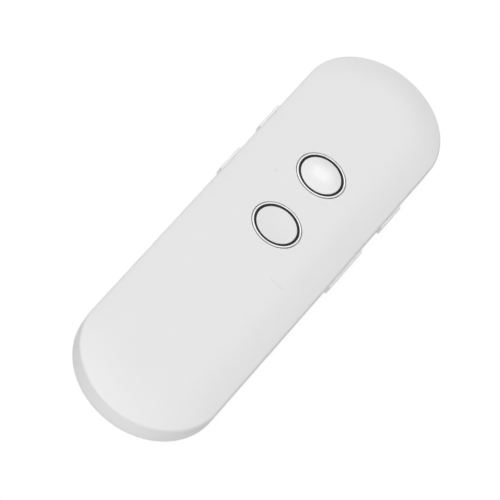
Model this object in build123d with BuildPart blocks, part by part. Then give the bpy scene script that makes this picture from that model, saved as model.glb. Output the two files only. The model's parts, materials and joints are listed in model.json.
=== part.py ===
from build123d import *
from math import sqrt
import os

# A handheld translator lying on its back. X runs across it, Y along it towards the top end,
# and Z up out of the face. The origin is the middle of the back. All sizes are in millimetres.
# An inset is a distance along Y from the top end, or from the lower end where that is said.

# Casing
body_length = 140.0
body_width = 37.2
side_height = 6.7  # from the back to the edge where the side wall meets the face
face_roll_width = 10.5  # strip beside that edge where the face rolls down
face_roll_radius = 35.0
face_edge_round = 0.8
back_edge_round = 3.0
wall = 1.5
face_thickness = 1.2
inner_edge_round = 0.3
parting_height = 0.95  # the seam lies this high, on the rounded back edge
seam_gap = 0.1
cover_thickness = 1.2
lip_height = 1.0  # rim of the rear cover that locates it inside the side wall
lip_thickness = 0.9
lip_clearance = 0.1
fit_gap = 0.03  # between pieces that are pressed or glued together

# Thumb buttons on the face
upper_button_inset = 44.9
button_spacing = 21.35
button_radius = 5.27
button_travel = 0.4
button_stand = 0.02  # rim of a button above the face
button_dome = 0.4
button_dish = 0.18
button_edge_round = 0.12
flange_overlap = 0.95  # of the flange behind the ring
flange_thickness = 0.7
flange_gap = 0.1
nub_radius = 1.5
nub_height = 0.3
ring_gap = 0.65  # between the cap and the ring
ring_width = 0.44
ring_sleeve_wall = 0.25
ring_seat_depth = 0.8
ring_crown = 0.1  # top of the ring above the face
ring_lip = 0.04  # inner edge of the ring above the face
ring_rim_gap = 0.23  # groove between the ring and the face
seal_gap = 0.04
seal_depth = 0.02  # top of the dark seal below the face

# Side keys
short_key_length = 9.2
long_key_length = 15.7
upper_keys_rise = 6.9  # above the middle of the upper button
left_keys_spacing = 18.7
right_keys_spacing = 22.3
key_ceiling_gap = 0.19  # between the flange of a key and the roll of the face
key_rim_gap = 0.5  # between the flange of a key and the rim of the rear cover
key_stand = 0.6  # beyond the side wall
key_travel = 0.35
key_gap = 0.12
key_edge_round = 0.28
key_flange = 0.8
key_flange_gap = 0.1
key_overhang = 0.3
rocker_end_gap = 0.2
rocker_tab_length = 6.0
rocker_tab_gap = 0.25
rocker_nub_radius = 0.4
rocker_nub_gap = 0.05
fulcrum_width = 1.6
fulcrum_depth = 1.2
volume_switch_spacing = 10.0

# Main board and what is on it
board_thickness = 0.8
board_drop = 0.2  # top of the board below the middle of the keys
board_edge_gap = 1.9  # from the inside of the side wall
board_tail = 1.7  # beyond the middle of the status light
board_corner = 1.5
switch_side = 4.5
switch_height = 1.1
switch_corner = 0.25
switch_plunger_radius = 1.2
side_switch_depth = 2.4
side_switch_length = 4.2
side_switch_height = 1.6
side_plunger_width = 1.8
side_plunger_height = 0.8
side_plunger_stand = 1.0
plunger_foot = 0.35  # length inside the switch at rest
plunger_gap = 0.1
shield_side = 13.0
shield_height = 1.6
shield_wall = 0.2
shield_corner = 0.6
shield_rise = 17.0  # above the middle of the upper button
chip_corner = 0.15
processor_side = 10.0
processor_height = 1.0
memory_length = 9.0
memory_width = 7.0
memory_height = 0.9
memory_rise = 11.5  # above the middle of the lower button
power_chip_side = 3.4
power_chip_height = 0.8
power_chip_inset = 14.0
antenna_x = -7.5
antenna_inset = 9.0
antenna_length = 5.0
antenna_width = 1.6
antenna_height = 1.2
usb_width = 8.94
usb_height = 3.16
usb_depth = 7.35
usb_shell = 0.3
usb_back = 0.75
usb_rise = 0.1  # middle of the socket above the top of the board
usb_setback = 1.0  # mouth below the tip of the top end
usb_opening_gap = 0.18
tongue_width = 6.7
tongue_thickness = 0.7
tongue_setback = 1.2
contact_count = 8
contact_pitch = 0.75
contact_width = 0.4
contact_length = 3.2
contact_thickness = 0.05

# Microphone behind its pin hole, and the status light behind its slit
mic_side_inset = 9.8  # from the side of the casing
mic_rise = 13.4  # above the middle of the lower button
mic_hole_radius = 0.4
mic_seat_drop = 0.3  # flat seat below the ceiling of the casing
mic_seat_radius = 2.3
mic_mesh_radius = 1.6
mic_mesh_thickness = 0.1
mic_boot_radius = 1.9
mic_boot_bore = 0.6
mic_length = 3.8
mic_width = 3.0
mic_height = 1.1
slit_side_inset = 9.3
slit_drop = 14.3  # below the middle of the lower button
slit_length = 4.2
slit_width = 0.3
guide_length = 5.2
guide_width = 1.4
guide_seat_drop = 0.35
guide_seat_rim = 0.5
led_length = 1.6
led_width = 0.8
led_height = 0.6
led_gap = 0.2

# Loudspeaker facing the back of the lower end
speaker_inset = 14.0  # from the lower end
speaker_radius = 10.0
speaker_wall = 1.1
speaker_height = 3.6
speaker_plate = 0.9
magnet_radius = 5.4
magnet_height = 2.6
magnet_proud = 0.9  # behind the frame
gasket_thickness = 0.5
cone_thickness = 0.25
cone_gap = 0.1  # between the ridge of the cone and the magnet
surround_width = 2.2
coil_radius = 4.0
coil_wall = 0.3
coil_height = 0.8  # length inside the magnet
coil_gap = 0.2
pad_side = 6.0
speaker_mesh_thickness = 0.15
terminal_length = 3.0
terminal_reach = 1.2
speaker_nest_gap = 0.15
speaker_nest_wall = 0.8
speaker_nest_height = 1.3
grille_hole_radius = 0.5
grille_pitch = 2.1
grille_rings = 3
grille_ring_step = 6  # holes that each ring has more than the one inside it

# Battery, which fills the bay between the loudspeaker and the board
battery_speaker_gap = 3.0
battery_board_gap = 1.5
battery_side_gap = 3.6  # from the inside of the side wall
battery_thickness = 4.4
battery_round = 1.2
tape_thickness = 0.5
tape_end_inset = 3.5
tape_edge_gap = 0.3  # from the line where the face starts to roll down
foam_inset = 4.5
battery_plug_x = -7.0
plug_width = 4.6
plug_depth = 3.0
plug_height = 2.0
plug_setback = 1.2  # from the low edge of the board
lead_radius = 0.35
battery_lead_spacing = 1.6
speaker_plug_width = 2.2
speaker_lead_gap = 0.55  # from the side of the battery
speaker_lead_spacing = 0.8
speaker_lead_rise = 0.5  # lower lead above the board

# Screws
cover_screw_battery_gap = 0.5  # between the battery and the two bosses beside it
cover_screw_upper_x = 10.5
cover_screw_upper_inset = 14.0
cover_screw_radius = 0.8
cover_screw_head = 1.6
cover_screw_head_depth = 0.8
cover_screw_cone = 90  # full angle of the head, in degrees
cover_screw_sunk = 0.05
cover_screw_length = 4.6
cover_boss_radius = 2.0
board_screw_lower_edge = 3.2  # from the side of the board
board_screw_upper_edge = 2.9
board_screw_lower_drop = 7.5  # each pair below the middle of its button
board_screw_upper_drop = 2.5
board_screw_radius = 0.6
board_screw_head = 1.1
board_screw_head_depth = 0.5
board_screw_length = 3.0
board_boss_radius = 1.5
boss_hole_gap = 0.3
screw_gap = 0.06
recess_length = 1.7
recess_width = 0.35
recess_depth = 0.4
small_recess_length = 1.2
small_recess_depth = 0.25

# Levels and lines worked out from the sizes above
half_width = body_width / 2
top_y = body_length / 2
half_straight = top_y - half_width  # the ends are half rounds about this point
face_flat = half_width - face_roll_width
crown = face_roll_radius - sqrt(face_roll_radius**2 - face_roll_width**2)
face_z = side_height + crown
ceiling_z = face_z - face_thickness
inner_half = half_width - wall
inner_radius = face_roll_radius - face_thickness
ceiling_roll_z = ceiling_z - inner_radius + sqrt(inner_radius**2 - (inner_half - face_flat) ** 2)
upper_button_y = top_y - upper_button_inset
lower_button_y = upper_button_y - button_spacing
ring_inner_radius = button_radius + ring_gap
ring_outer_radius = ring_inner_radius + ring_width
ring_sleeve_radius = ring_inner_radius + ring_sleeve_wall
flange_radius = ring_inner_radius + flange_overlap
upper_keys_y = upper_button_y + upper_keys_rise
left_lower_key_y = upper_keys_y - left_keys_spacing
volume_rocker_y = upper_keys_y - right_keys_spacing
key_top_z = ceiling_roll_z - key_ceiling_gap - key_overhang
key_low_z = cover_thickness + lip_height + key_rim_gap + key_overhang
key_height = key_top_z - key_low_z
key_z = (key_top_z + key_low_z) / 2
slit_place = (half_width - slit_side_inset, lower_button_y - slit_drop)
board_top_z = key_z - board_drop
board_z = board_top_z - board_thickness
board_half = inner_half - board_edge_gap
board_low_y = slit_place[1] - board_tail
shield_y = upper_button_y + shield_rise
memory_y = lower_button_y + memory_rise
power_chip_y = top_y - power_chip_inset
flange_top_z = ceiling_z - flange_gap
flange_z = flange_top_z - flange_thickness
nub_z = flange_z - nub_height
switch_top_z = board_top_z + switch_height
key_back = inner_half - key_flange_gap - key_flange
side_switch_face = key_back - side_plunger_stand
side_plunger_z = board_top_z + side_switch_height / 2
usb_mouth_y = top_y - usb_setback
usb_z = board_top_z + usb_rise
mic_place = (mic_side_inset - half_width, lower_button_y + mic_rise)
mic_seat_z = ceiling_z - mic_seat_drop
guide_seat_z = ceiling_z - guide_seat_drop
speaker_y = speaker_inset - top_y
frame_z = cover_thickness + gasket_thickness
frame_top_z = frame_z + speaker_height
battery_top_z = ceiling_z - tape_thickness
battery_z = battery_top_z - battery_thickness
battery_low_y = speaker_y + speaker_radius + battery_speaker_gap
battery_high_y = board_low_y - battery_board_gap
battery_mid_y = (battery_low_y + battery_high_y) / 2
battery_length = battery_high_y - battery_low_y
battery_width = 2 * (inner_half - battery_side_gap)
speaker_lead_x = battery_width / 2 + speaker_lead_gap + lead_radius
speaker_lead_bend = (speaker_lead_x - speaker_radius - terminal_reach) / 2
plug_low_y = board_low_y + plug_setback
buttons_y = {"upper": upper_button_y, "lower": lower_button_y}
cover_screw_lower = (
    battery_width / 2 - cover_boss_radius,
    battery_low_y - cover_screw_battery_gap - cover_boss_radius,
)
cover_screw_upper = (cover_screw_upper_x, top_y - cover_screw_upper_inset)
board_screw_lower = (board_half - board_screw_lower_edge, lower_button_y - board_screw_lower_drop)
board_screw_upper = (board_half - board_screw_upper_edge, upper_button_y - board_screw_upper_drop)
cover_screws = [(s * x, y) for x, y in (cover_screw_lower, cover_screw_upper) for s in (-1, 1)]
board_screws = [(s * x, y) for x, y in (board_screw_lower, board_screw_upper) for s in (-1, 1)]
short_keys = {
    "left_upper_key": (-1, upper_keys_y),
    "left_lower_key": (-1, left_lower_key_y),
    "power_key": (1, upper_keys_y),
}
side_switches = {
    "left_upper_key_switch": (-1, upper_keys_y),
    "left_lower_key_switch": (-1, left_lower_key_y),
    "power_switch": (1, upper_keys_y),
    "volume_up_switch": (1, volume_rocker_y + volume_switch_spacing / 2),
    "volume_down_switch": (1, volume_rocker_y - volume_switch_spacing / 2),
}


# A bar with half-round ends: one section, turned about each end and drawn out between them
def bar_form(half, top, roll_radius, bottom, foot_round, edge_round):
    roll = half - face_flat
    side_top = top - roll_radius + sqrt(roll_radius**2 - roll**2)
    with BuildPart() as form:
        with BuildSketch(Plane.XZ.offset(-half_straight)) as section:
            with BuildLine():
                TangentArc((face_flat, top), (half, side_top), tangent=(1, 0))
                Polyline((half, side_top), (half, bottom), (0, bottom), (0, top), (face_flat, top))
            make_face()
            fillet(section.vertices().group_by(Axis.X)[-1].sort_by(Axis.Y)[-1], edge_round)
            if foot_round > 0:
                fillet(section.vertices().group_by(Axis.X)[-1].sort_by(Axis.Y)[0], foot_round)
        extrude(amount=half_straight)
        revolve(section.sketch, Axis((0, half_straight, 0), (0, 0, 1)), 90)
        mirror(about=Plane.YZ)
        mirror(about=Plane.XZ)
    return form.part


# A flat plate with half-round ends, from one height up to another
def bar_plate(half, low_z, high_z):
    with BuildPart() as plate:
        with BuildSketch(Plane.XY.offset(low_z)):
            SlotCenterToCenter(2 * half_straight, 2 * half, rotation=90)
        extrude(amount=high_z - low_z)
    return plate.part


os.makedirs("parts", exist_ok=True)

outer_form = bar_form(half_width, face_z, face_roll_radius, 0, back_edge_round, face_edge_round)
cavity_form = bar_form(inner_half, ceiling_z, inner_radius, 0, 0, inner_edge_round)

# Front housing: face and side wall in one moulding, open at the back
with BuildPart() as front_housing:
    add(outer_form)
    add(cavity_form, mode=Mode.SUBTRACT)
    split(bisect_by=Plane.XY.offset(parting_height), keep=Keep.TOP)
    # bosses for the cover screws, and shorter ones that the board is screwed to
    with BuildSketch(Plane.XY.offset(cover_thickness)):
        with Locations(*cover_screws):
            Circle(cover_boss_radius)
    extrude(amount=ceiling_z - cover_thickness)
    with BuildSketch(Plane.XY.offset(board_top_z)):
        with Locations(*board_screws):
            Circle(board_boss_radius)
    extrude(amount=ceiling_z - board_top_z)
    # post behind the middle of the volume rocker
    fulcrum_face = key_back - rocker_nub_radius - rocker_nub_gap
    with BuildSketch(Plane.XY.offset(board_top_z)):
        with Locations((fulcrum_face - fulcrum_depth / 2, volume_rocker_y)):
            Rectangle(fulcrum_depth, fulcrum_width)
    extrude(amount=ceiling_z - board_top_z)
    # flat seats for the microphone and the light guide
    with BuildSketch(Plane.XY.offset(mic_seat_z)):
        with Locations(mic_place):
            Circle(mic_seat_radius)
    extrude(amount=mic_seat_drop)
    with BuildSketch(Plane.XY.offset(guide_seat_z)):
        with Locations(slit_place):
            Rectangle(guide_length + 2 * guide_seat_rim, guide_width + 2 * guide_seat_rim)
    extrude(amount=guide_seat_drop)
    # screw holes
    with BuildSketch(Plane.XY.offset(cover_thickness)):
        with Locations(*cover_screws):
            Circle(cover_screw_radius + screw_gap)
    extrude(amount=cover_screw_length, mode=Mode.SUBTRACT)
    with BuildSketch(Plane.XY.offset(board_top_z)):
        with Locations(*board_screws):
            Circle(board_screw_radius + screw_gap)
    extrude(amount=board_screw_length - board_thickness + screw_gap, mode=Mode.SUBTRACT)
    # stepped holes for the button rings
    with Locations(*[(0, y, face_z) for y in buttons_y.values()]):
        CounterBoreHole(
            radius=ring_sleeve_radius + fit_gap,
            counter_bore_radius=ring_outer_radius + ring_rim_gap,
            counter_bore_depth=ring_seat_depth + fit_gap,
            depth=face_thickness,
        )
    with Locations((*mic_place, face_z)):
        Hole(mic_hole_radius, depth=face_z - mic_seat_z)
    with BuildSketch(Plane.XY.offset(guide_seat_z)):
        with Locations(slit_place):
            SlotOverall(slit_length + 2 * fit_gap, slit_width + 2 * fit_gap)
    extrude(amount=face_z - guide_seat_z, mode=Mode.SUBTRACT)
    # slots in the side wall for the keys
    for side, y in short_keys.values():
        with BuildSketch(Plane.YZ.offset(side * inner_half)):
            with Locations((y, key_z)):
                Rectangle(short_key_length + 2 * key_gap, key_height + 2 * key_gap)
        extrude(amount=side * wall, mode=Mode.SUBTRACT)
    with BuildSketch(Plane.YZ.offset(inner_half)):
        with Locations((volume_rocker_y, key_z)):
            Rectangle(long_key_length + 2 * rocker_end_gap, key_height + 2 * key_gap)
    extrude(amount=wall, mode=Mode.SUBTRACT)
    # opening for the charging socket in the top end
    with BuildSketch(Plane.XZ.offset(-top_y)):
        with Locations((0, usb_z)):
            SlotOverall(usb_width + 2 * usb_opening_gap, usb_height + 2 * usb_opening_gap)
    extrude(amount=2 * wall + usb_setback, mode=Mode.SUBTRACT)
front_housing.part.label = "front_housing"
export_step(front_housing.part, "parts/front_housing.step")

# Rear cover: shallow dish with the rounded back edge, a locating rim and the speaker grille
cover_half = inner_half - lip_clearance
cover_rim = bar_plate(cover_half, cover_thickness, cover_thickness + lip_height)
cover_rim_inside = bar_plate(cover_half - lip_thickness, cover_thickness, cover_thickness + lip_height)
cover_plate = bar_plate(cover_half, seam_gap, cover_thickness)
with BuildPart() as rear_cover:
    add(outer_form)
    split(bisect_by=Plane.XY.offset(parting_height - seam_gap), keep=Keep.BOTTOM)
    add(cover_plate)
    add(cover_rim)
    add(cover_rim_inside, mode=Mode.SUBTRACT)
    # low wall round the loudspeaker
    with BuildSketch(Plane.XY.offset(cover_thickness)):
        with Locations((0, speaker_y)):
            Circle(speaker_radius + speaker_nest_gap + speaker_nest_wall)
            Circle(speaker_radius + speaker_nest_gap, mode=Mode.SUBTRACT)
    extrude(amount=speaker_nest_height)
    # the rim is left out below the socket
    with BuildSketch(Plane.XY.offset(cover_thickness)):
        with Locations((0, top_y)):
            Rectangle(usb_width + 2 * lip_thickness, 2 * usb_depth)
    extrude(amount=lip_height, mode=Mode.SUBTRACT)
    for place in cover_screws:
        with Locations(Location((*place, 0), (180, 0, 0))):
            CounterSinkHole(
                radius=cover_screw_radius + screw_gap,
                counter_sink_radius=cover_screw_head + screw_gap,
                depth=cover_thickness,
                counter_sink_angle=cover_screw_cone,
            )
    with BuildSketch():
        with Locations((0, speaker_y)):
            Circle(grille_hole_radius)
        for ring in range(1, grille_rings + 1):
            with Locations((0, speaker_y)):
                with PolarLocations(ring * grille_pitch, ring * grille_ring_step):
                    Circle(grille_hole_radius)
    extrude(amount=cover_thickness, mode=Mode.SUBTRACT)
rear_cover.part.label = "rear_cover"
export_step(rear_cover.part, "parts/rear_cover.step")

# Bright ring, dark seal and cap of each thumb button
for name, y in buttons_y.items():
    with BuildPart() as button_ring:
        with BuildSketch(Plane.XZ.offset(-y)):
            with BuildLine():
                ThreePointArc(
                    (ring_inner_radius, face_z + ring_lip),
                    ((ring_inner_radius + ring_outer_radius) / 2, face_z + ring_crown),
                    (ring_outer_radius, face_z),
                )
                Polyline(
                    (ring_outer_radius, face_z),
                    (ring_outer_radius, face_z - ring_seat_depth),
                    (ring_sleeve_radius, face_z - ring_seat_depth),
                    (ring_sleeve_radius, ceiling_z),
                    (ring_inner_radius, ceiling_z),
                    (ring_inner_radius, face_z + ring_lip),
                )
            make_face()
        revolve(axis=Axis((0, y, 0), (0, 0, 1)))
    button_ring.part.label = f"{name}_button_ring"
    export_step(button_ring.part, f"parts/{name}_button_ring.step")

    with BuildPart() as button_seal:
        with BuildSketch(Plane.XY.offset(ceiling_z)):
            with Locations((0, y)):
                Circle(ring_inner_radius - fit_gap)
                Circle(button_radius + seal_gap, mode=Mode.SUBTRACT)
        extrude(amount=face_thickness - seal_depth)
    button_seal.part.label = f"{name}_button_seal"
    export_step(button_seal.part, f"parts/{name}_button_seal.step")

    # the upper cap is domed and the lower one dished, so that the thumb can tell them apart
    rim_z = face_z + button_stand
    middle_z = rim_z + (button_dome if name == "upper" else -button_dish)
    with BuildPart() as button:
        with BuildSketch(Plane.XZ.offset(-y)) as cap_section:
            with BuildLine():
                rim = (button_radius, rim_z)
                bow = abs(middle_z - rim_z)
                bow_radius = (button_radius**2 + bow**2) / (2 * bow)
                quarter_x = button_radius / 2
                quarter_drop = bow_radius - sqrt(bow_radius**2 - quarter_x**2)
                quarter_z = middle_z + (-quarter_drop if name == "upper" else quarter_drop)
                ThreePointArc((0, middle_z), (quarter_x, quarter_z), rim)
                Polyline(
                    rim,
                    (button_radius, flange_top_z),
                    (flange_radius, flange_top_z),
                    (flange_radius, flange_z),
                    (nub_radius, flange_z),
                    (nub_radius, nub_z),
                    (0, nub_z),
                    (0, middle_z),
                )
            make_face()
            rim_corner = cap_section.vertices().sort_by_distance(rim)[0]
            fillet(rim_corner, button_edge_round)
        revolve(axis=Axis((0, y, 0), (0, 0, 1)))
    button.part.label = f"{name}_button"
    export_step(button.part, f"parts/{name}_button.step")

# Short side keys: a cap through the wall, and a flange behind the wall that holds it in
for name, (side, y) in short_keys.items():
    with BuildPart() as side_key:
        with BuildSketch(Plane.YZ.offset(side * key_back)):
            with Locations((y, key_z)):
                Rectangle(short_key_length, key_height)
        extrude(amount=side * (half_width + key_stand - key_back))
        outer_face = side_key.faces().sort_by(Axis.X)[-1 if side > 0 else 0]
        fillet(outer_face.edges(), key_edge_round)
        with BuildSketch(Plane.YZ.offset(side * key_back)):
            with Locations((y, key_z)):
                Rectangle(short_key_length + 2 * key_overhang, key_height + 2 * key_overhang)
        extrude(amount=side * key_flange)
    side_key.part.label = name
    export_step(side_key.part, f"parts/{name}.step")

# Volume rocker: held at its middle, where a half-round nub rocks against the post
with BuildPart() as volume_rocker:
    with BuildSketch(Plane.YZ.offset(key_back)):
        with Locations((volume_rocker_y, key_z)):
            Rectangle(long_key_length, key_height)
    extrude(amount=half_width + key_stand - key_back)
    fillet(volume_rocker.faces().sort_by(Axis.X)[-1].edges(), key_edge_round)
    with BuildSketch(Plane.YZ.offset(key_back)):
        with Locations((volume_rocker_y, key_z)):
            Rectangle(rocker_tab_length, key_height + 2 * key_overhang)
    extrude(amount=inner_half - rocker_tab_gap - key_back)
    with BuildSketch(Plane.XY.offset(board_top_z + plunger_gap)):
        with Locations((key_back, volume_rocker_y)):
            Circle(rocker_nub_radius)
    extrude(amount=key_top_z - board_top_z - plunger_gap)
volume_rocker.part.label = "volume_rocker"
export_step(volume_rocker.part, "parts/volume_rocker.step")

# Main board, with a notch for the socket and round holes for the bosses of the rear cover
with BuildPart() as main_board:
    with BuildSketch(Plane.XY.offset(board_z)) as outline:
        with Locations((0, (board_low_y + half_straight) / 2)):
            Rectangle(2 * board_half, half_straight - board_low_y)
        fillet(outline.vertices().group_by(Axis.Y)[0], board_corner)
        with Locations((0, half_straight)):
            Circle(board_half)
        with Locations((0, usb_mouth_y)):
            notch_width = usb_width + 2 * usb_opening_gap
            Rectangle(notch_width, 2 * (usb_depth + usb_opening_gap), mode=Mode.SUBTRACT)
        with Locations(*[place for place in cover_screws if place[1] > 0]):
            Circle(cover_boss_radius + boss_hole_gap, mode=Mode.SUBTRACT)
        with Locations(*board_screws):
            Circle(board_screw_radius + screw_gap, mode=Mode.SUBTRACT)
    extrude(amount=board_thickness)
main_board.part.label = "main_board"
export_step(main_board.part, "parts/main_board.step")

# Switches under the thumb buttons, each with the plunger that its button pushes
for name, y in buttons_y.items():
    with BuildPart() as switch:
        with BuildSketch(Plane.XY.offset(board_top_z)):
            with Locations((0, y)):
                Rectangle(switch_side, switch_side)
        extrude(amount=switch_height)
        chamfer(switch.edges().filter_by(Axis.Z), switch_corner)
        with Locations((0, y, switch_top_z)):
            Hole(switch_plunger_radius + plunger_gap, depth=plunger_foot + button_travel + plunger_gap)
    switch.part.label = f"{name}_switch"
    export_step(switch.part, f"parts/{name}_switch.step")

    with BuildPart() as plunger:
        with BuildSketch(Plane.XY.offset(switch_top_z - plunger_foot)):
            with Locations((0, y)):
                Circle(switch_plunger_radius)
        extrude(amount=nub_z - switch_top_z + plunger_foot)
    plunger.part.label = f"{name}_switch_plunger"
    export_step(plunger.part, f"parts/{name}_switch_plunger.step")

# Switches behind the side keys, lying on the edge of the board
for name, (side, y) in side_switches.items():
    with BuildPart() as switch:
        with BuildSketch(Plane.YZ.offset(side * side_switch_face)):
            with Locations((y, side_plunger_z)):
                Rectangle(side_switch_length, side_switch_height)
        extrude(amount=-side * side_switch_depth)
        with BuildSketch(Plane.YZ.offset(side * side_switch_face)):
            with Locations((y, side_plunger_z)):
                Rectangle(side_plunger_width + 2 * plunger_gap, side_plunger_height + 2 * plunger_gap)
        bore_depth = plunger_foot + key_travel + plunger_gap
        extrude(amount=-side * bore_depth, mode=Mode.SUBTRACT)
    switch.part.label = name
    export_step(switch.part, f"parts/{name}.step")

    with BuildPart() as plunger:
        with BuildSketch(Plane.YZ.offset(side * (side_switch_face - plunger_foot))):
            with Locations((y, side_plunger_z)):
                Rectangle(side_plunger_width, side_plunger_height)
        extrude(amount=side * (side_plunger_stand + plunger_foot))
    plunger.part.label = f"{name}_plunger"
    export_step(plunger.part, f"parts/{name}_plunger.step")


# A flat chip or block standing on the board, or hanging below it
def block(x, y, low_z, length, width, height):
    with BuildPart() as piece:
        with BuildSketch(Plane.XY.offset(low_z)):
            with Locations((x, y)):
                Rectangle(width, length)
        extrude(amount=height)
        chamfer(piece.edges().filter_by(Axis.Z), chip_corner)
    return piece.part


processor_chip = block(0, shield_y, board_top_z, processor_side, processor_side, processor_height)
processor_chip.label = "processor_chip"
export_step(processor_chip, "parts/processor_chip.step")

memory_chip = block(0, memory_y, board_z - memory_height, memory_length, memory_width, memory_height)
memory_chip.label = "memory_chip"
export_step(memory_chip, "parts/memory_chip.step")

power_chip = block(0, power_chip_y, board_top_z, power_chip_side, power_chip_side, power_chip_height)
power_chip.label = "power_chip"
export_step(power_chip, "parts/power_chip.step")

antenna_y = top_y - antenna_inset
antenna = block(antenna_x, antenna_y, board_top_z, antenna_width, antenna_length, antenna_height)
antenna.label = "antenna"
export_step(antenna, "parts/antenna.step")

status_led = block(*slit_place, board_top_z, led_width, led_length, led_height)
status_led.label = "status_led"
export_step(status_led, "parts/status_led.step")

microphone = block(*mic_place, board_top_z, mic_length, mic_width, mic_height)
microphone.label = "microphone"
export_step(microphone, "parts/microphone.step")

plug_mid_y = plug_low_y + plug_depth / 2
battery_connector = block(battery_plug_x, plug_mid_y, board_top_z, plug_depth, plug_width, plug_height)
battery_connector.label = "battery_connector"
export_step(battery_connector, "parts/battery_connector.step")

speaker_plug_x = speaker_lead_x - lead_radius
speaker_connector = block(
    speaker_plug_x, plug_mid_y, board_top_z, plug_depth, speaker_plug_width, plug_height
)
speaker_connector.label = "speaker_connector"
export_step(speaker_connector, "parts/speaker_connector.step")

# Metal can over the processor
with BuildPart() as radio_shield:
    with BuildSketch(Plane.XY.offset(board_top_z)):
        with Locations((0, shield_y)):
            RectangleRounded(shield_side, shield_side, shield_corner)
    extrude(amount=shield_height)
    offset(amount=-shield_wall, openings=radio_shield.faces().sort_by(Axis.Z)[0])
radio_shield.part.label = "radio_shield"
export_step(radio_shield.part, "parts/radio_shield.step")

# Charging socket let into the board, and the tongue inside it
with BuildPart() as usb_socket:
    with BuildSketch(Plane.XZ.offset(-usb_mouth_y)):
        with Locations((0, usb_z)):
            SlotOverall(usb_width, usb_height)
    extrude(amount=usb_depth)
    with BuildSketch(Plane.XZ.offset(-usb_mouth_y)):
        with Locations((0, usb_z)):
            SlotOverall(usb_width - 2 * usb_shell, usb_height - 2 * usb_shell)
    extrude(amount=usb_depth - usb_back, mode=Mode.SUBTRACT)
usb_socket.part.label = "usb_socket"
export_step(usb_socket.part, "parts/usb_socket.step")

with BuildPart() as usb_tongue:
    with BuildSketch(Plane.XZ.offset(-(usb_mouth_y - tongue_setback))):
        with Locations((0, usb_z)):
            Rectangle(tongue_width, tongue_thickness)
    extrude(amount=usb_depth - usb_back - tongue_setback)
usb_tongue.part.label = "usb_tongue"
export_step(usb_tongue.part, "parts/usb_tongue.step")

with BuildPart() as usb_contacts:
    for face_side in (-1, 1):
        contact_z = usb_z + face_side * (tongue_thickness + contact_thickness) / 2
        with BuildSketch(Plane.XZ.offset(-(usb_mouth_y - tongue_setback - contact_width))):
            with Locations((0, contact_z)):
                with GridLocations(contact_pitch, 0, contact_count, 1):
                    Rectangle(contact_width, contact_thickness)
        extrude(amount=contact_length)
usb_contacts.part.label = "usb_contacts"
export_step(usb_contacts.part, "parts/usb_contacts.step")

# Microphone: porous plug that fills its hole flush with the face, and a rubber boot down to the capsule
with BuildPart() as microphone_mesh:
    with BuildSketch(Plane.XY.offset(mic_seat_z)):
        with Locations(mic_place):
            Circle(mic_hole_radius - fit_gap)
    extrude(amount=face_z - mic_seat_z)
    add(outer_form, mode=Mode.INTERSECT)
    with BuildSketch(Plane.XY.offset(mic_seat_z - mic_mesh_thickness)):
        with Locations(mic_place):
            Circle(mic_mesh_radius)
    extrude(amount=mic_mesh_thickness)
microphone_mesh.part.label = "microphone_mesh"
export_step(microphone_mesh.part, "parts/microphone_mesh.step")

mic_top_z = board_top_z + mic_height
with BuildPart() as microphone_boot:
    with BuildSketch(Plane.XY.offset(mic_top_z)):
        with Locations(mic_place):
            Circle(mic_boot_radius)
            Circle(mic_boot_bore, mode=Mode.SUBTRACT)
    extrude(amount=mic_seat_z - mic_mesh_thickness - mic_top_z)
microphone_boot.part.label = "microphone_boot"
export_step(microphone_boot.part, "parts/microphone_boot.step")

# Light guide: a thin blade that fills the slit flush with the face, on a block above the light
with BuildPart() as status_light_guide:
    with BuildSketch(Plane.XY.offset(guide_seat_z)):
        with Locations(slit_place):
            SlotOverall(slit_length, slit_width)
    extrude(amount=face_z - guide_seat_z)
    add(outer_form, mode=Mode.INTERSECT)
    with BuildSketch(Plane.XY.offset(guide_seat_z)):
        with Locations(slit_place):
            Rectangle(guide_length, guide_width)
    extrude(amount=board_top_z + led_height + led_gap - guide_seat_z)
status_light_guide.part.label = "status_light_guide"
export_step(status_light_guide.part, "parts/status_light_guide.step")

# Loudspeaker on a foam ring, open towards the grille
with BuildPart() as speaker_gasket:
    with BuildSketch(Plane.XY.offset(cover_thickness)):
        with Locations((0, speaker_y)):
            Circle(speaker_radius)
            Circle(speaker_radius - speaker_wall, mode=Mode.SUBTRACT)
    extrude(amount=gasket_thickness)
speaker_gasket.part.label = "speaker_gasket"
export_step(speaker_gasket.part, "parts/speaker_gasket.step")

with BuildPart() as speaker_mesh:
    with BuildSketch(Plane.XY.offset(cover_thickness)):
        with Locations((0, speaker_y)):
            Circle(speaker_radius - speaker_wall - fit_gap)
    extrude(amount=speaker_mesh_thickness)
speaker_mesh.part.label = "speaker_mesh"
export_step(speaker_mesh.part, "parts/speaker_mesh.step")

with BuildPart() as speaker_frame:
    with BuildSketch(Plane.XY.offset(frame_z)):
        with Locations((0, speaker_y)):
            Circle(speaker_radius)
    extrude(amount=speaker_height)
    with BuildSketch(Plane.XY.offset(frame_z)):
        with Locations((0, speaker_y)):
            Circle(speaker_radius - speaker_wall)
    extrude(amount=speaker_height - speaker_plate, mode=Mode.SUBTRACT)
    with BuildSketch(Plane.XY.offset(frame_z)):
        with Locations((0, speaker_y)):
            Circle(magnet_radius + fit_gap)
    extrude(amount=speaker_height, mode=Mode.SUBTRACT)
    # terminal block that the leads come from
    with BuildSketch(Plane.XY.offset(board_top_z)):
        with Locations((speaker_radius + (terminal_reach - speaker_wall) / 2, speaker_y)):
            Rectangle(terminal_reach + speaker_wall, terminal_length)
    extrude(amount=frame_top_z - board_top_z + lead_radius)
speaker_frame.part.label = "speaker_frame"
export_step(speaker_frame.part, "parts/speaker_frame.step")

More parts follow.
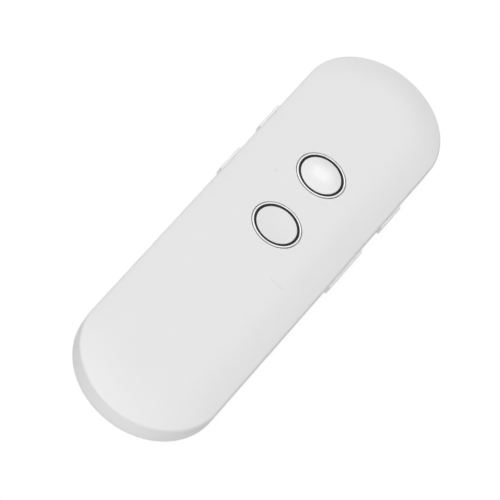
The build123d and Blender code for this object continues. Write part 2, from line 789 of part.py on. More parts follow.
magnet_top_z = frame_top_z + magnet_proud
magnet_z = magnet_top_z - magnet_height
with BuildPart() as speaker_magnet:
    with BuildSketch(Plane.XY.offset(magnet_z)):
        with Locations((0, speaker_y)):
            Circle(magnet_radius)
    extrude(amount=magnet_height)
    # narrow ring gap that the voice coil moves in
    with BuildSketch(Plane.XY.offset(magnet_z)):
        with Locations((0, speaker_y)):
            Circle(coil_radius + coil_gap)
            Circle(coil_radius - coil_wall - coil_gap, mode=Mode.SUBTRACT)
    extrude(amount=coil_height + coil_gap, mode=Mode.SUBTRACT)
speaker_magnet.part.label = "speaker_magnet"
export_step(speaker_magnet.part, "parts/speaker_magnet.step")

# The cone: rolled surround, sloping ring and a dome in the middle, one skin thick
cone_outer = speaker_radius - speaker_wall - fit_gap
cone_fold = cone_outer - surround_width
cone_low = frame_z + cone_thickness
cone_high = magnet_z - cone_gap
with BuildPart() as speaker_cone:
    with BuildSketch(Plane.XZ.offset(-speaker_y)):
        with BuildLine():
            Polyline(
                (0, cone_low),
                (coil_radius / 2, cone_low + cone_thickness),
                (coil_radius, cone_high - cone_thickness),
                (cone_fold, cone_low + cone_thickness),
                ((cone_fold + cone_outer) / 2, cone_low),
                (cone_outer, cone_low + cone_thickness),
                (cone_outer, cone_low + 2 * cone_thickness),
                ((cone_fold + cone_outer) / 2, cone_low + cone_thickness),
                (cone_fold, cone_low + 2 * cone_thickness),
                (coil_radius, cone_high),
                (coil_radius / 2, cone_low + 2 * cone_thickness),
                (0, cone_low + cone_thickness),
                close=True,
            )
        make_face()
    revolve(axis=Axis((0, speaker_y, 0), (0, 0, 1)))
speaker_cone.part.label = "speaker_cone"
export_step(speaker_cone.part, "parts/speaker_cone.step")

# Voice coil, from the ridge of the cone into the gap of the magnet
with BuildPart() as voice_coil:
    with BuildSketch(Plane.XY.offset(cone_high)):
        with Locations((0, speaker_y)):
            Circle(coil_radius)
            Circle(coil_radius - coil_wall, mode=Mode.SUBTRACT)
    extrude(amount=coil_height + cone_gap)
voice_coil.part.label = "voice_coil"
export_step(voice_coil.part, "parts/voice_coil.step")

# Foam pad that presses the loudspeaker onto its ring
with BuildPart() as speaker_pad:
    with BuildSketch(Plane.XY.offset(magnet_top_z)):
        with Locations((0, speaker_y)):
            Rectangle(pad_side, pad_side)
    extrude(amount=ceiling_z - magnet_top_z)
speaker_pad.part.label = "speaker_pad"
export_step(speaker_pad.part, "parts/speaker_pad.step")

# Battery pouch between a tape on the casing and a foam pad on the cover
with BuildPart() as battery_cell:
    with BuildSketch(Plane.XY.offset(battery_z)):
        with Locations((0, battery_mid_y)):
            Rectangle(battery_width, battery_length)
    extrude(amount=battery_thickness)
    fillet(battery_cell.edges().filter_by(Axis.Y), battery_round)
battery_cell.part.label = "battery_cell"
export_step(battery_cell.part, "parts/battery_cell.step")

with BuildPart() as battery_tape:
    with BuildSketch(Plane.XY.offset(battery_top_z)):
        with Locations((0, battery_mid_y)):
            Rectangle(2 * (face_flat - tape_edge_gap), battery_length - 2 * tape_end_inset)
    extrude(amount=tape_thickness)
battery_tape.part.label = "battery_tape"
export_step(battery_tape.part, "parts/battery_tape.step")

with BuildPart() as battery_foam:
    with BuildSketch(Plane.XY.offset(cover_thickness)):
        with Locations((0, battery_mid_y)):
            Rectangle(battery_width - 2 * foam_inset, battery_length - 2 * foam_inset)
    extrude(amount=battery_z - cover_thickness)
battery_foam.part.label = "battery_foam"
export_step(battery_foam.part, "parts/battery_foam.step")

# Battery leads, straight from the cell to its connector
lead_z = board_top_z + plug_height / 2
for name, side in {"battery_lead_red": -1, "battery_lead_black": 1}.items():
    with BuildPart() as lead:
        with BuildSketch(Plane.XZ.offset(-battery_high_y)):
            with Locations((battery_plug_x + side * battery_lead_spacing / 2, lead_z)):
                Circle(lead_radius)
        extrude(amount=battery_high_y - plug_low_y)
    lead.part.label = name
    export_step(lead.part, f"parts/{name}.step")

# Speaker leads, from the terminal block round to the side wall and along the battery
for name, level in {"speaker_lead_red": 0, "speaker_lead_black": 1}.items():
    level_z = board_top_z + speaker_lead_rise + level * speaker_lead_spacing
    with BuildPart() as lead:
        with BuildLine(Plane.XY.offset(level_z)) as route:
            FilletPolyline(
                (speaker_radius + terminal_reach, speaker_y),
                (speaker_lead_x, speaker_y),
                (speaker_lead_x, plug_low_y),
                radius=speaker_lead_bend,
            )
        with BuildSketch(Plane.YZ.offset(speaker_radius + terminal_reach)):
            with Locations((speaker_y, level_z)):
                Circle(lead_radius)
        sweep(path=route.line)
    lead.part.label = name
    export_step(lead.part, f"parts/{name}.step")

# Countersunk screws of the rear cover, and the small screws that hold the board
with BuildPart() as cover_screw_set:
    with BuildSketch(Plane.XY.offset(cover_screw_sunk)):
        with Locations(*cover_screws):
            Circle(cover_screw_head)
    extrude(amount=cover_screw_head_depth, taper=cover_screw_cone / 2)
    with BuildSketch(Plane.XY.offset(cover_screw_sunk)):
        with Locations(*cover_screws):
            Circle(cover_screw_radius)
    extrude(amount=cover_screw_length)
    with BuildSketch(Plane.XY.offset(cover_screw_sunk)):
        with Locations(*cover_screws):
            Rectangle(recess_length, recess_width)
            Rectangle(recess_width, recess_length)
    extrude(amount=recess_depth, mode=Mode.SUBTRACT)
cover_screw_set.part.label = "cover_screws"
export_step(cover_screw_set.part, "parts/cover_screws.step")

with BuildPart() as board_screw_set:
    head_z = board_z - board_screw_head_depth
    with BuildSketch(Plane.XY.offset(head_z)):
        with Locations(*board_screws):
            Circle(board_screw_head)
    extrude(amount=board_screw_head_depth)
    with BuildSketch(Plane.XY.offset(board_z)):
        with Locations(*board_screws):
            Circle(board_screw_radius)
    extrude(amount=board_screw_length)
    with BuildSketch(Plane.XY.offset(head_z)):
        with Locations(*board_screws):
            Rectangle(small_recess_length, recess_width)
            Rectangle(recess_width, small_recess_length)
    extrude(amount=small_recess_depth, mode=Mode.SUBTRACT)
board_screw_set.part.label = "board_screws"
export_step(board_screw_set.part, "parts/board_screws.step")
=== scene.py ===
import json
import math
import bpy
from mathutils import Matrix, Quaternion, Vector


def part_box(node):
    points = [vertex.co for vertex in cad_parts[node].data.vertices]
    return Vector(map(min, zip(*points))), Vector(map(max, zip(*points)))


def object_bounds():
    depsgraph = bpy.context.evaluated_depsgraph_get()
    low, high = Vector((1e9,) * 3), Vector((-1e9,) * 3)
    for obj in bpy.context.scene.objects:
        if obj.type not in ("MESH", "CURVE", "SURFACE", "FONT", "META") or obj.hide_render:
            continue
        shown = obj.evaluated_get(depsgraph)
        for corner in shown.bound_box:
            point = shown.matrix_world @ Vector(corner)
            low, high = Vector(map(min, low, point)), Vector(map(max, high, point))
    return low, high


# A handheld translator in white moulded plastic, lying on a pale studio floor.
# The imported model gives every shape. This script gives the finishes, the light and the camera.
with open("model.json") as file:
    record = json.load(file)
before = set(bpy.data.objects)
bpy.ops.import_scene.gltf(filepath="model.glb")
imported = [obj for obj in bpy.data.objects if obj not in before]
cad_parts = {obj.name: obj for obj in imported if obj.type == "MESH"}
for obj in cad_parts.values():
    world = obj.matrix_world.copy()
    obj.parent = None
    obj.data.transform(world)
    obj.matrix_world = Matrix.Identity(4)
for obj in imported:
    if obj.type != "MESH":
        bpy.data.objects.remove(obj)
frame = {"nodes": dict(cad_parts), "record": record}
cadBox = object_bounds()
nodes = frame["nodes"]
mm = 0.001
print("frame loaded,", len(nodes), "pieces")


# Small helpers

def linear(hexCode):
    # an sRGB hex value turned into the linear colour that the shaders work in
    channels = []
    for start in (0, 2, 4):
        value = int(hexCode[start:start + 2], 16) / 255
        channels.append(value / 12.92 if value <= 0.04045 else ((value + 0.055) / 1.055) ** 2.4)
    return (*channels, 1)


def addNode(tree, kind, inputs=None, **settings):
    node = tree.nodes.new(kind)
    for name, value in settings.items():
        setattr(node, name, value)
    for name, value in (inputs or {}).items():
        if isinstance(value, bpy.types.NodeSocket):
            tree.links.new(value, node.inputs[name])
        else:
            node.inputs[name].default_value = value
    return node


def emptyTree(owner):
    # the node tree of a material or a world, with nothing in it yet
    owner.use_nodes = True
    owner.node_tree.nodes.clear()
    return owner.node_tree


def addObject(name, data):
    added = bpy.data.objects.new(name, data)
    bpy.context.scene.collection.objects.link(added)
    return added


def towards(azimuth, elevation):
    # azimuth 0 is the near side, where the lower end points, and 90 is the right side
    turn = math.radians(azimuth)
    lift = math.radians(elevation)
    return Vector((math.sin(turn) * math.cos(lift), -math.cos(turn) * math.cos(lift), math.sin(lift)))


def startMaterial(finish):
    # a fresh material with its shader, and the place on the object counted in millimetres
    material = bpy.data.materials.new(finish["name"])
    tree = emptyTree(material)
    shader = addNode(tree, "ShaderNodeBsdfPrincipled", {"Metallic": finish.get("metallic", 0.0)})
    if "ior" in finish:
        shader.inputs["IOR"].default_value = finish["ior"]
    for name, value in finish.get("shader", {}).items():
        shader.inputs[name].default_value = value
    addNode(tree, "ShaderNodeOutputMaterial", {"Surface": shader.outputs["BSDF"]})
    coordinates = addNode(tree, "ShaderNodeTexCoord")
    place = addNode(
        tree, "ShaderNodeMapping",
        {"Vector": coordinates.outputs["Object"], "Scale": (1 / mm, 1 / mm, 1 / mm)},
    )
    return material, tree, shader, place.outputs["Vector"]


def dress(tree, shader, finish, tone, grain):
    # tone runs the colour between its two hexes, grain runs the roughness and stands up as relief;
    # the mix node takes its two colours at inputs 6 and 7 and gives the mixed one at output 2
    colour = addNode(
        tree, "ShaderNodeMix", {0: tone, 6: linear(finish["hexLow"]), 7: linear(finish["hexHigh"])},
        data_type="RGBA",
    )
    roughLow, roughHigh = finish["roughness"]
    roughness = addNode(
        tree, "ShaderNodeMapRange", {"Value": grain, "To Min": roughLow, "To Max": roughHigh}
    )
    relief = addNode(tree, "ShaderNodeBump", {"Height": grain, "Distance": finish["reliefMm"] * mm})
    tree.links.new(colour.outputs[2], shader.inputs["Base Color"])
    tree.links.new(roughness.outputs["Result"], shader.inputs["Roughness"])
    tree.links.new(relief.outputs["Normal"], shader.inputs["Normal"])


def putOn(material, slot):
    # the material goes on every piece whose record names this slot
    for piece in frame["record"]["subparts"]:
        if piece["material_slot"] == slot:
            nodes[piece["node"]].data.materials.clear()
            nodes[piece["node"]].data.materials.append(material)


# Moulded plastics

# the layers in each noise, and the cosine of a rim's turn at which its grain starts to go and is gone
mouldPattern = {"cloudDetail": 3.0, "grainDetail": 2.0, "rimSamples": 4, "rimStart": 0.98, "rimGone": 0.75}


def mouldedPlastic(slot, finish):
    # clouds of slightly different tone, and the grain that the mould leaves, rubbed smooth at the rims
    material, tree, shader, place = startMaterial(finish)
    cloud = addNode(
        tree, "ShaderNodeTexNoise",
        {"Vector": place, "Scale": 1 / finish["cloudMm"], "Detail": mouldPattern["cloudDetail"]},
    )
    grain = addNode(
        tree, "ShaderNodeTexNoise",
        {"Vector": place, "Scale": 1 / finish["grainMm"], "Detail": mouldPattern["grainDetail"]},
    )
    rounded = addNode(
        tree, "ShaderNodeBevel", {"Radius": finish["rimMm"] * mm}, samples=mouldPattern["rimSamples"]
    )
    surface = addNode(tree, "ShaderNodeNewGeometry")
    along = addNode(
        tree, "ShaderNodeVectorMath", {0: rounded.outputs["Normal"], 1: surface.outputs["True Normal"]},
        operation="DOT_PRODUCT",
    )
    unworn = addNode(
        tree, "ShaderNodeMapRange",
        {
            "Value": along.outputs["Value"],
            "From Min": mouldPattern["rimGone"], "From Max": mouldPattern["rimStart"],
        },
    )
    worn = addNode(
        tree, "ShaderNodeMath", {0: grain.outputs["Fac"], 1: unworn.outputs["Result"]}, operation="MULTIPLY"
    )
    dress(tree, shader, finish, cloud.outputs["Fac"], worn.outputs["Value"])
    putOn(material, slot)


# Satin ABS from a spark-eroded mould: an even soft white that spreads every highlight wide.
# The real grain is about 0.08 mm and would not show, so it is drawn at 0.4 mm.
mouldedPlastic("casing", {
    "name": "sparkErodedAbs", "ior": 1.54, "hexLow": "E8E8E8", "hexHigh": "EAEAEA", "cloudMm": 9.0,
    "grainMm": 0.4, "reliefMm": 0.006, "roughness": (0.42, 0.54), "rimMm": 0.15,
})

# Keys of the same ABS from a polished mould: their upper edges catch the light as a thin bright line
mouldedPlastic("side_keys", {
    "name": "polishedAbs", "ior": 1.54, "hexLow": "ECECEC", "hexHigh": "EFEFEF", "cloudMm": 4.0,
    "grainMm": 0.8, "reliefMm": 0.001, "roughness": (0.12, 0.2), "rimMm": 0.15,
})

# Polished polycarbonate cap: a clear sharp shine over a bright white
mouldedPlastic("upper_cap", {
    "name": "polishedPolycarbonate", "ior": 1.585, "hexLow": "E8E8E8", "hexHigh": "EBEBEB", "cloudMm": 5.0,
    "grainMm": 1.2, "reliefMm": 0.001, "roughness": (0.1, 0.18), "rimMm": 0.1,
})

# Satin polycarbonate cap: flat and even, with hardly any shine
mouldedPlastic("lower_cap", {
    "name": "satinPolycarbonate", "ior": 1.585, "hexLow": "E4E4E4", "hexHigh": "E6E6E6", "cloudMm": 5.0,
    "grainMm": 0.35, "reliefMm": 0.003, "roughness": (0.4, 0.5), "rimMm": 0.1,
})

# Frosted acrylic light guide: milky and hardly darker than the face round it
mouldedPlastic("light_guide", {
    "name": "frostedAcrylic", "ior": 1.49, "hexLow": "E2E2E2", "hexHigh": "E6E6E6", "cloudMm": 2.0,
    "grainMm": 0.3, "reliefMm": 0.002, "roughness": (0.35, 0.45), "rimMm": 0.05,
})

# Sintered fluoropolymer plug over the microphone: dry chalky white, almost the white of the face
mouldedPlastic("sound_plug", {
    "name": "sinteredFluoropolymer", "ior": 1.38, "hexLow": "E3E3E3", "hexHigh": "E8E8E8", "cloudMm": 0.5,
    "grainMm": 0.15, "reliefMm": 0.004, "roughness": (0.7, 0.85), "rimMm": 0.03,
})

# Acetal plungers and plug housings: waxy, a touch creamy
mouldedPlastic("switch_plunger", {
    "name": "mouldedAcetal", "ior": 1.48, "hexLow": "D9D7CF", "hexHigh": "E3E1DA", "cloudMm": 1.5,
    "grainMm": 0.25, "reliefMm": 0.003, "roughness": (0.28, 0.4), "rimMm": 0.06,
})

# Glass-filled nylon switch bodies: dull black with a dry, slightly streaky skin
mouldedPlastic("switch_body", {
    "name": "glassFilledNylon", "ior": 1.53, "hexLow": "1B1B1C", "hexHigh": "2A2A2C", "cloudMm": 0.8,
    "grainMm": 0.2, "reliefMm": 0.008, "roughness": (0.5, 0.7), "rimMm": 0.06,
})

# Liquid crystal polymer tongue of the socket: smooth black with a faint flow pattern
mouldedPlastic("socket_tongue", {
    "name": "liquidCrystalPolymer", "ior": 1.6, "hexLow": "161617", "hexHigh": "222224", "cloudMm": 1.2,
    "grainMm": 0.25, "reliefMm": 0.003, "roughness": (0.35, 0.5), "rimMm": 0.04,
})

# Loudspeaker frame in black polyester: an even semi-matt
mouldedPlastic("speaker_frame", {
    "name": "mouldedPolyester", "ior": 1.57, "hexLow": "1E1E1F", "hexHigh": "29292A", "cloudMm": 3.0,
    "grainMm": 0.3, "reliefMm": 0.005, "roughness": (0.4, 0.55), "rimMm": 0.1,
})

# Epoxy moulding of the chips: dark grey with the fine speckle of its filler
mouldedPlastic("chip", {
    "name": "mouldedEpoxy", "ior": 1.55, "hexLow": "1C1D1F", "hexHigh": "34363A", "cloudMm": 0.3,
    "grainMm": 0.15, "reliefMm": 0.006, "roughness": (0.5, 0.68), "rimMm": 0.06,
})

# Fired ceramic block of the antenna: off-white, dense and faintly pitted
mouldedPlastic("antenna", {
    "name": "firedCeramic", "ior": 1.75, "hexLow": "D5D2C6", "hexHigh": "E6E3D8", "cloudMm": 0.6,
    "grainMm": 0.18, "reliefMm": 0.008, "roughness": (0.3, 0.5), "rimMm": 0.05,
})

# Clear epoxy over the lamp: pale yellow, wet-looking
mouldedPlastic("lamp", {
    "name": "castEpoxy", "ior": 1.53, "hexLow": "E2DCA8", "hexHigh": "EFEAC4", "cloudMm": 0.5,
    "grainMm": 0.5, "reliefMm": 0.001, "roughness": (0.06, 0.12), "rimMm": 0.03,
    "shader": {"Coat Weight": 0.6, "Coat Roughness": 0.05},
})
print("plastics done")


# Metals

metalPattern = {"cloudDetail": 4.0, "markDetail": 3.0}


def workedMetal(slot, finish):
    # tool marks, packed closer along the axes whose markScale is above 1, over faint clouds
    material, tree, shader, place = startMaterial(finish)
    stretched = addNode(tree, "ShaderNodeMapping", {"Vector": place, "Scale": finish["markScale"]})
    cloud = addNode(
        tree, "ShaderNodeTexNoise",
        {"Vector": place, "Scale": 1 / finish["cloudMm"], "Detail": metalPattern["cloudDetail"]},
    )
    marks = addNode(
        tree, "ShaderNodeTexNoise",
        {
            "Vector": stretched.outputs["Vector"],
            "Scale": 1 / finish["grainMm"], "Detail": metalPattern["markDetail"],
        },
    )
    dress(tree, shader, finish, cloud.outputs["Fac"], marks.outputs["Fac"])
    putOn(material, slot)


# Satin nickel-chrome ring: a bright silvery line, softened by hairlines from the brushing wheel
workedMetal("button_ring", {
    "name": "brushedChrome", "metallic": 1.0, "hexLow": "B2B3B5", "hexHigh": "BABBBD", "cloudMm": 2.0,
    "grainMm": 0.3, "markScale": (1, 1, 6), "reliefMm": 0.0008, "roughness": (0.24, 0.34),
})

# Tinned steel can: a soft grey shine with the drag lines of the rolling mill
workedMetal("shield", {
    "name": "rolledTinplate", "metallic": 1.0, "hexLow": "B4B7BA", "hexHigh": "CDD0D2", "cloudMm": 3.0,
    "grainMm": 0.25, "markScale": (4, 0.2, 4), "reliefMm": 0.003, "roughness": (0.28, 0.42),
})

# Drawn stainless steel shell of the socket: lengthwise draw lines
workedMetal("socket_shell", {
    "name": "drawnStainless", "metallic": 1.0, "hexLow": "A9ABAE", "hexHigh": "C2C4C6", "cloudMm": 2.0,
    "grainMm": 0.2, "markScale": (4, 0.15, 4), "reliefMm": 0.003, "roughness": (0.25, 0.4),
})

# Gold-plated contacts: warm and smooth, slightly rubbed lengthwise
workedMetal("contacts", {
    "name": "platedGold", "metallic": 1.0, "hexLow": "D9A441", "hexHigh": "EBC268", "cloudMm": 0.8,
    "grainMm": 0.12, "markScale": (5, 0.3, 5), "reliefMm": 0.001, "roughness": (0.18, 0.3),
})

# Nickel-plated magnet: bright grey with a slight orange-peel
workedMetal("magnet", {
    "name": "platedNickel", "metallic": 1.0, "hexLow": "AEADA8", "hexHigh": "C6C5C0", "cloudMm": 3.0,
    "grainMm": 0.4, "markScale": (1, 1, 1), "reliefMm": 0.003, "roughness": (0.16, 0.26),
})

# Zinc-plated screws: pale bluish grey, faintly mottled on the head and lined round the shank
workedMetal("screw", {
    "name": "platedZinc", "metallic": 1.0, "hexLow": "A3A8AD", "hexHigh": "BFC4C8", "cloudMm": 0.8,
    "grainMm": 0.15, "markScale": (1, 1, 5), "reliefMm": 0.003, "roughness": (0.25, 0.4),
})

# Nickel silver can of the microphone: smooth pressed sheet
workedMetal("capsule", {
    "name": "pressedNickelSilver", "metallic": 1.0, "hexLow": "B5B1A6", "hexHigh": "CBC7BC", "cloudMm": 1.5,
    "grainMm": 0.2, "markScale": (3, 0.5, 3), "reliefMm": 0.002, "roughness": (0.22, 0.34),
})

# Aluminium laminate round the battery: dull silver that creases in soft folds
workedMetal("battery", {
    "name": "creasedFoil", "metallic": 0.85, "hexLow": "B9BCC0", "hexHigh": "D3D5D8", "cloudMm": 6.0,
    "grainMm": 3.0, "markScale": (1, 1.6, 1), "reliefMm": 0.09, "roughness": (0.3, 0.42),
})
print("metals done")


# Soft parts

# the wave pattern repeats every pi / 10 at a scale of 1
wavePitch = math.pi / 10
skinPattern = {"cloudDetail": 3.0, "bloomDetail": 2.0}


def cellFoam(slot, finish):
    # open cells, each with a lighter rim and a dark middle that is painted shade down in the pore
    material, tree, shader, place = startMaterial(finish)
    cells = addNode(tree, "ShaderNodeTexVoronoi", {"Vector": place, "Scale": 1 / finish["cellMm"]})
    dress(tree, shader, finish, cells.outputs["Distance"], cells.outputs["Distance"])
    putOn(material, slot)


# Polyurethane foam: dull charcoal, open cells about 0.4 mm across
cellFoam("foam", {
    "name": "openCellFoam", "ior": 1.5, "hexLow": "121212", "hexHigh": "3A3A3B", "cellMm": 0.4,
    "reliefMm": 0.15, "roughness": (0.85, 0.98),
})


def wovenCloth(slot, finish):
    # two sets of threads that cross, with painted shade as the dark hole between them and along each
    # thread's edges
    material, tree, shader, place = startMaterial(finish)
    threads = [
        addNode(
            tree, "ShaderNodeTexWave", {"Vector": place, "Scale": wavePitch / finish["threadMm"]},
            bands_direction=direction,
        )
        for direction in ("X", "Y")
    ]
    crossing = addNode(
        tree, "ShaderNodeMath", {0: threads[0].outputs["Fac"], 1: threads[1].outputs["Fac"]},
        operation="MAXIMUM",
    )
    dress(tree, shader, finish, crossing.outputs["Value"], crossing.outputs["Value"])
    putOn(material, slot)


# Woven polyester dust cloth: black threads 0.2 mm apart, with a slight sheen
wovenCloth("mesh", {
    "name": "wovenPolyester", "ior": 1.57, "hexLow": "050505", "hexHigh": "2B2B2C", "threadMm": 0.2,
    "reliefMm": 0.05, "roughness": (0.55, 0.75), "shader": {"Sheen Weight": 0.2, "Sheen Roughness": 0.4},
})


def softSkin(slot, finish):
    # smooth soft skins: faint clouds, and a fine bloom on the surface
    material, tree, shader, place = startMaterial(finish)
    cloud = addNode(
        tree, "ShaderNodeTexNoise",
        {"Vector": place, "Scale": 1 / finish["cloudMm"], "Detail": skinPattern["cloudDetail"]},
    )
    bloom = addNode(
        tree, "ShaderNodeTexNoise",
        {"Vector": place, "Scale": 1 / finish["grainMm"], "Detail": skinPattern["bloomDetail"]},
    )
    dress(tree, shader, finish, cloud.outputs["Fac"], bloom.outputs["Fac"])
    putOn(material, slot)


# Silicone seal: deep black that swallows the light in the gap round each button
softSkin("button_seal", {
    "name": "mouldedSilicone", "ior": 1.41, "hexLow": "060606", "hexHigh": "0B0B0B", "cloudMm": 2.0,
    "grainMm": 0.3, "reliefMm": 0.004, "roughness": (0.7, 0.85),
})

# Extruded vinyl sleeves of the leads: slick, and faintly uneven
softSkin("red_wire", {
    "name": "extrudedRedVinyl", "ior": 1.53, "hexLow": "A01412", "hexHigh": "BC1C19", "cloudMm": 2.0,
    "grainMm": 0.5, "reliefMm": 0.01, "roughness": (0.28, 0.4),
})
softSkin("black_wire", {
    "name": "extrudedBlackVinyl", "ior": 1.53, "hexLow": "121213", "hexHigh": "1D1D1F", "cloudMm": 2.0,
    "grainMm": 0.5, "reliefMm": 0.01, "roughness": (0.28, 0.4),
})
print("soft parts done")


# Board, cone and coil

def maskedBoard(slot, finish):
    # copper tracks show through the mask as paler lines and stand up a little
    material, tree, shader, place = startMaterial(finish)
    tracks = addNode(
        tree, "ShaderNodeTexVoronoi",
        {"Vector": place, "Scale": 1 / finish["trackMm"], "Randomness": finish["randomness"]},
        feature="DISTANCE_TO_EDGE",
    )
    line = addNode(
        tree, "ShaderNodeMapRange",
        {"Value": tracks.outputs["Distance"], "From Max": finish["lineShare"], "To Min": 1.0, "To Max": 0.0},
    )
    dress(tree, shader, finish, line.outputs["Result"], line.outputs["Result"])
    putOn(material, slot)


# Fibreglass board under green solder mask: glossy, with copper tracks about 0.3 mm wide below it
maskedBoard("board", {
    "name": "maskedFibreglass", "ior": 1.52, "hexLow": "0D3B1F", "hexHigh": "2A6B3A", "trackMm": 2.4,
    "randomness": 0.9, "lineShare": 0.12, "reliefMm": 0.03, "roughness": (0.2, 0.3),
})


def ringedSkin(slot, finish, middle):
    # ridges that follow each other at an even pitch, round the loudspeaker or along its axis
    material, tree, shader, place = startMaterial(finish)
    centred = addNode(
        tree, "ShaderNodeMapping", {"Vector": place, "Location": tuple(-value / mm for value in middle)}
    )
    ridges = addNode(
        tree, "ShaderNodeTexWave",
        {"Vector": centred.outputs["Vector"], "Scale": wavePitch / finish["ridgeMm"]},
        wave_type=finish["waveType"], bands_direction=finish["axis"], rings_direction=finish["axis"],
    )
    # the colour follows the ridges: painted shade darkens each trough, and the crests stay lighter
    dress(tree, shader, finish, ridges.outputs["Fac"], ridges.outputs["Fac"])
    putOn(material, slot)


coneLow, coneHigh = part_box("speaker_cone")
coneMiddle = (coneLow + coneHigh) / 2

# Pressed polymer film of the cone: thin, dark grey and slightly shiny, with stiffening rings
# the rings are painted darker in their troughs, as painted shade
ringedSkin("cone", {
    "name": "pressedFilm", "ior": 1.58, "hexLow": "2C2C2E", "hexHigh": "46464A", "ridgeMm": 0.6,
    "waveType": "RINGS", "axis": "Z", "reliefMm": 0.03, "roughness": (0.3, 0.42),
}, coneMiddle)

# Enamelled copper wire of the coil: warm brown turns 0.15 mm apart, with painted shade in the gaps between
# them
ringedSkin("coil", {
    "name": "enamelledCopper", "metallic": 0.9, "hexLow": "5A2A14", "hexHigh": "C4713B", "ridgeMm": 0.15,
    "waveType": "BANDS", "axis": "Z", "reliefMm": 0.04, "roughness": (0.2, 0.35),
}, coneMiddle)
print("board, cone and coil done")


# Floor: white to the eye, with only the object's own soft shadow on it
floorLook = {
    "halfSide": 3.0, "belowMm": 0.05, "hexColour": "F4F4F4", "litShare": 0.16, "hexShine": "FFFFFF",
    "ownShine": 0.9, "fibreMm": 2.5, "fibreDetail": 3.0, "fibreReliefMm": 0.02, "fibreStrength": 0.2,
}


def layFloor(look):
    side = look["halfSide"]
    height = cadBox[0][2] - look["belowMm"] * mm
    mesh = bpy.data.meshes.new("studioFloor")
    mesh.from_pydata(
        [(-side, -side, height), (side, -side, height), (side, side, height), (-side, side, height)],
        [], [(0, 1, 2, 3)],
    )
    floor = addObject("studioFloor", mesh)
    # the sheet is seen, but throws nothing back at the object, so its underside is lit as well
    floor.visible_diffuse = False
    floor.visible_glossy = False
    floor.visible_transmission = False
    floor.visible_shadow = False

    # matt white paper: lit a little by the lamps, so that the shadow shows, and otherwise plain white
    material = bpy.data.materials.new("mattPaper")
    tree = emptyTree(material)
    coordinates = addNode(tree, "ShaderNodeTexCoord")
    fibres = addNode(
        tree, "ShaderNodeTexNoise",
        {
            "Vector": coordinates.outputs["Object"],
            "Scale": 1 / (look["fibreMm"] * mm), "Detail": look["fibreDetail"],
        },
    )
    relief = addNode(
        tree, "ShaderNodeBump",
        {
            "Height": fibres.outputs["Fac"],
            "Distance": look["fibreReliefMm"] * mm, "Strength": look["fibreStrength"],
        },
    )
    red, green, blue, alpha = linear(look["hexColour"])
    share = look["litShare"]
    lit = addNode(
        tree, "ShaderNodeBsdfDiffuse",
        {"Color": (red * share, green * share, blue * share, alpha), "Normal": relief.outputs["Normal"]},
    )
    shine = addNode(
        tree, "ShaderNodeEmission", {"Color": linear(look["hexShine"]), "Strength": look["ownShine"]}
    )
    both = addNode(tree, "ShaderNodeAddShader", {0: lit.outputs["BSDF"], 1: shine.outputs["Emission"]})
    clear = addNode(tree, "ShaderNodeBsdfTransparent")
    surface = addNode(tree, "ShaderNodeNewGeometry")
    # from below the sheet is clear, so that the back of the object can be seen
    mixed = addNode(
        tree, "ShaderNodeMixShader",
        {0: surface.outputs["Backfacing"], 1: both.outputs["Shader"], 2: clear.outputs["BSDF"]},
    )
    addNode(tree, "ShaderNodeOutputMaterial", {"Surface": mixed.outputs["Shader"]})
    mesh.materials.append(material)


layFloor(floorLook)
print("floor laid")


# Light: a white room that the eye and the shine see, a softer one that lights the object, and lamps
roomLook = {"hexColour": "FFFFFF", "seen": 1.0, "above": 0.1, "below": 0.5}


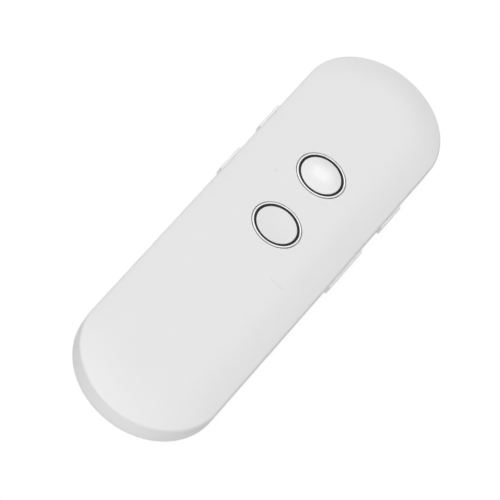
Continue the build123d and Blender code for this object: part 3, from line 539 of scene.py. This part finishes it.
def lightRoom(look):
    world = bpy.data.worlds.new("whiteRoom")
    bpy.context.scene.world = world
    tree = emptyTree(world)
    colour = linear(look["hexColour"])
    # the height of a direction runs from -1, straight down, to 1, straight up
    direction = addNode(tree, "ShaderNodeTexCoord")
    parts = addNode(tree, "ShaderNodeSeparateXYZ", {"Vector": direction.outputs["Generated"]})
    level = addNode(
        tree, "ShaderNodeMapRange",
        {"Value": parts.outputs["Z"], "From Min": -1.0, "To Min": look["below"], "To Max": look["above"]},
    )
    soft = addNode(tree, "ShaderNodeBackground", {"Color": colour, "Strength": level.outputs["Result"]})
    white = addNode(tree, "ShaderNodeBackground", {"Color": colour, "Strength": look["seen"]})
    rays = addNode(tree, "ShaderNodeLightPath")
    shiny = addNode(
        tree, "ShaderNodeMath",
        {0: rays.outputs["Is Glossy Ray"], 1: rays.outputs["Is Transmission Ray"]}, operation="MAXIMUM",
    )
    seen = addNode(
        tree, "ShaderNodeMath", {0: rays.outputs["Is Camera Ray"], 1: shiny.outputs["Value"]},
        operation="MAXIMUM",
    )
    mixed = addNode(
        tree, "ShaderNodeMixShader",
        {0: seen.outputs["Value"], 1: soft.outputs["Background"], 2: white.outputs["Background"]},
    )
    addNode(tree, "ShaderNodeOutputWorld", {"Surface": mixed.outputs["Shader"]})


lightRoom(roomLook)

# all lamps stand equally far off; each has the direction it stands in, its side in metres and its power
lampDistance = 1.1
lamps = {
    "highLeftLamp": {"azimuth": -150, "elevation": 65, "side": 1.2, "watts": 4.75},
    "highRightLamp": {"azimuth": 150, "elevation": 65, "side": 1.2, "watts": 1.8},
    "leftLamp": {"azimuth": -90, "elevation": 40, "side": 0.75, "watts": 2.1},
    "rightLamp": {"azimuth": 50, "elevation": 35, "side": 0.65, "watts": 1.4},
    "frontLamp": {"azimuth": 0, "elevation": 22, "side": 1.6, "watts": 10.0},
    # a small one, seen as the soft glint in the middle of the domed cap
    "glintLamp": {"azimuth": -176, "elevation": 46, "side": 0.22, "watts": 0.3},
}

for name, lamp in lamps.items():
    light = bpy.data.lights.new(name, "AREA")
    light.shape = "SQUARE"
    light.size = lamp["side"]
    light.energy = lamp["watts"]
    holder = addObject(name, light)
    back = towards(lamp["azimuth"], lamp["elevation"])
    holder.location = back * lampDistance
    holder.rotation_euler = back.to_track_quat("Z", "Y").to_euler()
print("light set")


# Camera: above the lower end, turned so that the object lies from lower left to upper right
cameraLook = {
    "targetMm": (-0.832, -6.358, 6.7), "azimuth": 3.044, "elevation": 47.81, "distance": 1.268,
    "roll": 37.88, "lensMm": 390.7, "sensorMm": 36, "clipNear": 0.05, "clipFar": 20,
}


def aimCamera(look):
    camera = bpy.data.cameras.new("camera")
    camera.lens = look["lensMm"]
    camera.sensor_width = look["sensorMm"]
    camera.clip_start = look["clipNear"]
    camera.clip_end = look["clipFar"]
    holder = addObject("camera", camera)
    back = towards(look["azimuth"], look["elevation"])
    holder.location = Vector(look["targetMm"]) * mm + back * look["distance"]
    holder.rotation_mode = "QUATERNION"
    roll = Quaternion((0, 0, 1), math.radians(look["roll"]))
    holder.rotation_quaternion = back.to_track_quat("Z", "Y") @ roll
    bpy.context.scene.camera = holder


aimCamera(cameraLook)
bpy.context.scene.view_settings.view_transform = "Standard"
print("camera set")
